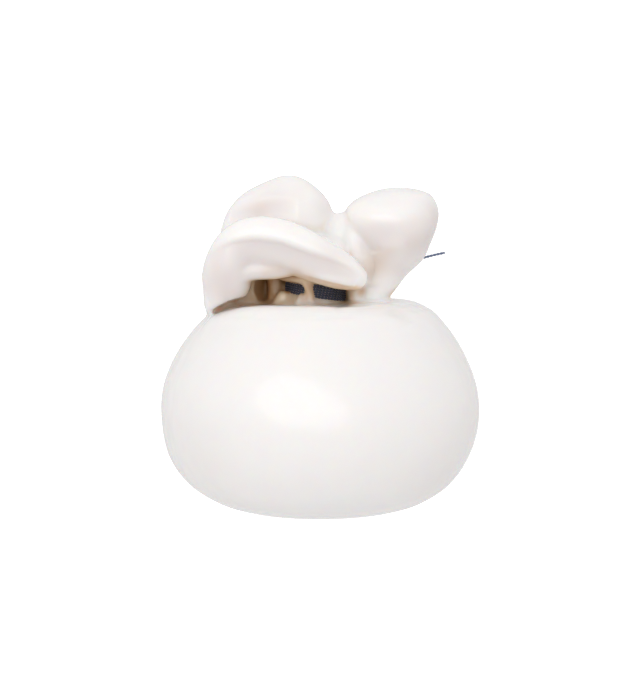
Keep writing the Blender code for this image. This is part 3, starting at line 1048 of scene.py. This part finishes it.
def curd_material(colours):
    """Moist white curd, with painted mauve shade where its skin is turned from the light, and painted warm,
    brown and then dark shade where it is shut in.
    """
    shader = Shader("fresh_curd")
    shut = shader.attribute("enclosure")
    deep = shader.attribute("depth")
    mottle = shader.noise(CURD_MOTTLE, 3.0)
    # Painted shade: mauve on skin turned from the light, then warm, brown and dark the more shut in it is
    mauve_shaded = shader.mix(shader.attribute("mauve"), colours.curd, colours.mauve)
    shaded = shader.mix(shader.ramp(shut, *SHADE_RANGE), mauve_shaded, colours.shade)
    brown = shader.math("MAXIMUM", shader.ramp(deep, *BROWN_RANGE), shader.attribute("brown"))
    browned = shader.mix(brown, shaded, colours.brown)
    dark = shader.mix(shader.ramp(deep, *DARK_RANGE), browned, colours.hollow)
    colour = shader.mix(mottle * 0.05, dark, colours.shade)
    grain = shader.noise(CURD_GRAIN, 4.0, 0.6)
    waves = shader.noise(CURD_WAVES, 2.0)
    bump = shader.node("ShaderNodeBump", None, 0.12, 0.0003, Height=grain * 0.35 + waves)
    return shader.set(
        Base_Color=colour,
        Roughness=mottle * 0.12 + 0.3,
        Normal=bump,
        Subsurface_Weight=0.8,
        Subsurface_Radius=CURD_GLOW,
        Subsurface_Scale=CURD_DEPTH,
        Coat_Weight=1.0 - shader.ramp(shut, *DRY_RANGE) * DRYNESS,
        Coat_Roughness=0.08,
    )


def string_material(name, colours, painted_lightness):
    """Slate-blue string with lighter fibres and worn patches, made darker or lighter as a whole by painted
    shade or light.
    """
    shader = Shader(name)
    fibre = shader.noise(STRING_FIBRES, 3.0, 0.65)
    worn = shader.noise(STRING_PATCHES, 2.0)
    light = shader.ramp(fibre, 0.42, 0.7) * 0.5 + worn * 0.2 + painted_lightness
    colour = shader.mix(light, colours.string, colours.string_light)
    bump = shader.node("ShaderNodeBump", None, 0.4, 0.0001, Height=fibre)
    return shader.set(Base_Color=colour, Roughness=worn * 0.2 + 0.45, Normal=bump, Sheen_Weight=0.1)


def finish_piece(obj, material, node):
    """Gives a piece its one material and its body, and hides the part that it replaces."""
    obj.data.materials.clear()
    obj.data.materials.append(material)
    for face in obj.data.polygons:
        face.material_index = 0
        face.use_smooth = True
    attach(obj, "root")
    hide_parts(node)


def make_hood(sizes):
    """The dome, the flap and the side between them in one, hollowed out underneath."""
    hood = join("hood", [
        make_fold("front_flap", FRONT_FLAP),
        make_fold("back_dome", BACK_DOME, upright=True),
        make_fold("left_side", LEFT_SIDE),
    ])
    apply_modifier(hood, "REMESH", mode="VOXEL", voxel_size=sizes.fineness)
    cut_rounded(hood, HOLLOW_MIDDLE, HOLLOW_HALF)
    cut_rounded(hood, SLIT_MIDDLE, SLIT_HALF)
    return hood


def fuse_cheese(sizes):
    """The ball, the neck and every fold as one soft skin on a flat foot."""
    cheese = join("fresh_cheese", [
        make_hood(sizes),
        make_ball(sizes),
        make_neck(),
        make_fold("right_ear", RIGHT_EAR, upright=True),
        make_fold("saddle", SADDLE),
        make_fold("rear_fold", REAR_FOLD, UPWARD),
        make_fold("front_pleat", FRONT_PLEAT),
        make_fold("hollow_pleat", HOLLOW_PLEAT),
        make_fold("tie_pleat", TIE_PLEAT),
        make_fold("tie_notch", TIE_NOTCH),
        make_fold("tie_lip", TIE_LIP),
        make_fold("web", WEB),
        make_fold("rim_drape", RIM_DRAPE),
        make_fold("gather", GATHER),
    ])
    apply_modifier(cheese, "REMESH", mode="VOXEL", voxel_size=sizes.fineness)
    cheese = keep_largest_shell(cheese)
    apply_modifier(cheese, "SMOOTH", factor=0.5, iterations=sizes.softness)
    cut_flat_foot(cheese)
    return cheese


def store_tints(cheese, mauve):
    """Stores what the curd's painted shade follows: how shut in, deep, mauve and brown each point is."""
    mesh = cheese.data
    plain = np.zeros(len(mauve))
    shut = enclosure(cheese)
    lit = dabbed(mesh, LIT_DABS, plain)
    store(mesh, "enclosure", shut * (1.0 - LIT_SHARE * lit))
    store(mesh, "depth", shut * (1.0 - lit))
    store(mesh, "mauve", dabbed(mesh, MAUVE_DABS, mauve))
    store(mesh, "brown", dabbed(mesh, BROWN_DABS, plain))


class BURRATA_OT_cheese(bpy.types.Operator):
    """Model the ball, the neck and the folded crown as one soft cheese."""

    bl_idname = "burrata.cheese"
    bl_label = "Cheese"

    def execute(self, context):
        cheese = fuse_cheese(context.scene.burrata_sizes)
        mauve = np.zeros(len(cheese.data.vertices))
        for stroke in STROKES:
            press(cheese, stroke, mauve)
        make_uneven(cheese)
        store_tints(cheese, mauve)
        finish_piece(cheese, curd_material(context.scene.burrata_colours), "cheese")
        return {"FINISHED"}


def even_line(points, step):
    """Points a fixed step apart along a dense line."""
    line = [points[0]]
    carried = 0.0
    for first, second in zip(points, points[1:]):
        length = (second - first).length
        while carried + length >= step:
            first = first + (second - first).normalized() * (step - carried)
            length = (second - first).length
            line.append(first)
            carried = 0.0
        carried += length
    return line


def twisted(name, points, thickness):
    """Two plies wound round each other along a dense line of points, as closed tubes."""
    line = even_line(points, thickness * STRING_STEP)
    ply_radius = thickness * PLY_RADIUS
    twist = 2 * math.pi / (thickness * PLY_TWIST)
    plies = []
    for start in (0.0, math.pi):
        curve = bpy.data.curves.new(name, "CURVE")
        curve.dimensions = "3D"
        curve.bevel_depth = ply_radius
        curve.bevel_resolution = 1
        curve.use_fill_caps = True
        spline = curve.splines.new("POLY")
        spline.points.add(len(line) - 1)
        travelled = 0.0
        for i, point in enumerate(line):
            ahead = line[min(i + 1, len(line) - 1)]
            behind = line[max(i - 1, 0)]
            along = (ahead - behind).normalized()
            side = along.cross(Z_AXIS).normalized()
            up = side.cross(along)
            angle = start + twist * travelled
            offset = (side * math.cos(angle) + up * math.sin(angle)) * (thickness / 2 - ply_radius)
            spline.points[i].co = (*(point + offset), 1.0)
            travelled += (ahead - point).length
        ply = bpy.data.objects.new(name, curve)
        bpy.context.scene.collection.objects.link(ply)
        select_only(ply)
        bpy.ops.object.convert(target="MESH")
        plies.append(bpy.context.active_object)
    string = join(name, plies)
    bpy.ops.object.mode_set(mode="EDIT")
    bpy.ops.mesh.select_all(action="SELECT")
    bpy.ops.mesh.remove_doubles(threshold=WELD)
    bpy.ops.mesh.normals_make_consistent(inside=False)
    bpy.ops.object.mode_set(mode="OBJECT")
    return string


def winding_line(sizes):
    """The string's turns round the neck, from the lowest up, with a slight wander."""
    place = neck_frame() @ Matrix.Translation((0.0, 0.0, TIE_HEIGHT))
    radius = sizes.tie_radius + sizes.string / 2
    count = sizes.turns * TURN_POINTS
    line = []
    for i in range(count + 1):
        angle = 2 * math.pi * sizes.turns * i / count
        height = sizes.string * ((sizes.turns - 1) * (i / count - 0.5))
        out = radius + WANDER * sizes.string * math.sin(WANDER_COUNT * angle)
        line.append(place @ Vector((out * math.cos(angle), out * math.sin(angle), height)))
    return line


def knot_line():
    """A closed loop that crosses over itself round the knot's middle."""
    line = []
    for i in range(KNOT_POINTS + 1):
        angle = 2 * math.pi * i / KNOT_POINTS
        line.append(KNOT + Vector((
            0.75 * math.sin(angle) + 0.25 * math.sin(3 * angle),
            0.7 * math.cos(2 * angle),
            0.85 * math.cos(angle) + 0.2 * math.sin(2 * angle),
        )) * MM)
    return line


class BURRATA_OT_string(bpy.types.Operator):
    """Wind the string round the neck, and make its knot and loose end."""

    bl_idname = "burrata.string"
    bl_label = "String"

    def execute(self, context):
        sizes = context.scene.burrata_sizes
        colours = context.scene.burrata_colours
        turns = twisted("string_turns", winding_line(sizes), sizes.string)
        # The turns against the neck get painted shade, and the loose end gets painted light
        finish_piece(turns, string_material("shaded_string_turns", colours, SHADED_TURNS_LIGHTNESS), "tie_band")
        end_line = [Vector(point) * MM for point in smooth_line(END_LINE, END_STEPS)]
        loose = join("string_end", [
            twisted("string_end", end_line, sizes.string),
            twisted("knot", knot_line(), sizes.string),
        ])
        finish_piece(loose, string_material("lit_string_end", colours, LIT_END_LIGHTNESS), "tie_tail")
        return {"FINISHED"}


def aim(obj, target):
    """Turns a light or a camera towards a point."""
    obj.rotation_euler = (target - obj.location).to_track_quat("-Z", "Y").to_euler()


def add_softbox(box):
    """A rounded soft light that faces the cheese."""
    light = bpy.data.lights.new(box.name, "AREA")
    light.shape = "ELLIPSE"
    light.size = box.width
    light.size_y = box.height
    light.energy = box.power
    obj = bpy.data.objects.new(box.name, light)
    bpy.context.scene.collection.objects.link(obj)
    obj.location = box.location
    aim(obj, LIGHTS_TARGET)
    obj.rotation_euler.rotate_axis("Z", math.radians(box.tilt))
    obj.visible_glossy = box.mirrored


def glow_plainly(obj, name, colour, roughness, strength):
    """A plain glowing finish that the camera sees and that throws no light on the cheese."""
    colour = opaque(colour)
    shader = Shader(name)
    obj.data.materials.append(shader.set(
        Base_Color=colour, Roughness=roughness, Emission_Color=colour, Emission_Strength=strength
    ))
    obj.visible_diffuse = False
    obj.visible_glossy = False


def add_surround(scene):
    """Even light from all round."""
    world = bpy.data.worlds.new("studio")
    world.use_nodes = True
    surround = world.node_tree.nodes["Background"]
    surround.inputs["Color"].default_value = SURROUND_COLOUR
    surround.inputs["Strength"].default_value = SURROUND_STRENGTH
    scene.world = world


def add_camera(scene):
    """The camera where the photo's was, slightly above the cheese's middle."""
    camera_data = bpy.data.cameras.new("camera")
    camera_data.lens = LENS
    camera_data.sensor_width = SENSOR
    camera_data.clip_start = CAMERA_NEAREST
    camera = bpy.data.objects.new("camera", camera_data)
    scene.collection.objects.link(camera)
    back = Vector((0.0, -math.cos(CAMERA_ELEVATION), math.sin(CAMERA_ELEVATION)))
    camera.location = CAMERA_TARGET + back * CAMERA_DISTANCE
    aim(camera, CAMERA_TARGET)
    scene.camera = camera


class BURRATA_OT_stage(bpy.types.Operator):
    """Set the pale floor, the soft lights and the camera."""

    bl_idname = "burrata.stage"
    bl_label = "Stage"

    def execute(self, context):
        colours = context.scene.burrata_colours
        deselect_all()
        bpy.ops.mesh.primitive_plane_add(size=FLOOR_SIZE)
        floor = context.active_object
        floor.name = "floor"
        glow_plainly(floor, "pale_floor", colours.floor, FLOOR_ROUGHNESS, FLOOR_GLOW)
        bpy.ops.mesh.primitive_cylinder_add(
            vertices=BACKDROP_SIDES, radius=BACKDROP_RADIUS, depth=BACKDROP_HEIGHT, end_fill_type="NOTHING"
        )
        backdrop = context.active_object
        backdrop.name = "backdrop"
        glow_plainly(backdrop, "white_backdrop", colours.floor, BACKDROP_ROUGHNESS, BACKDROP_GLOW)
        backdrop.visible_shadow = False
        for box in SOFTBOXES:
            add_softbox(box)
        add_surround(context.scene)
        add_camera(context.scene)
        context.scene.view_settings.view_transform = "Standard"
        return {"FINISHED"}


class BURRATA_PT_panel(bpy.types.Panel):
    """The burrata's pieces, sizes and colours."""

    bl_label = "Burrata"
    bl_space_type = "VIEW_3D"
    bl_region_type = "UI"
    bl_category = "Burrata"

    def draw(self, context):
        for group in (context.scene.burrata_sizes, context.scene.burrata_colours):
            box = self.layout.box()
            for key in group.__annotations__:
                box.prop(group, key)
        for operator in (BURRATA_OT_cheese, BURRATA_OT_string, BURRATA_OT_stage):
            self.layout.operator(operator.bl_idname)


CLASSES = (
    BurrataSizes,
    BurrataColours,
    BURRATA_OT_cheese,
    BURRATA_OT_string,
    BURRATA_OT_stage,
    BURRATA_PT_panel,
)


def register():
    for cls in CLASSES:
        bpy.utils.register_class(cls)
    bpy.types.Scene.burrata_sizes = PointerProperty(type=BurrataSizes)
    bpy.types.Scene.burrata_colours = PointerProperty(type=BurrataColours)


def unregister():
    del bpy.types.Scene.burrata_colours
    del bpy.types.Scene.burrata_sizes
    for cls in reversed(CLASSES):
        bpy.utils.unregister_class(cls)


def main():
    """Models the burrata and its stage."""
    register()
    bpy.ops.burrata.cheese()
    bpy.ops.burrata.string()
    bpy.ops.burrata.stage()


if __name__ == "__main__":
    main()
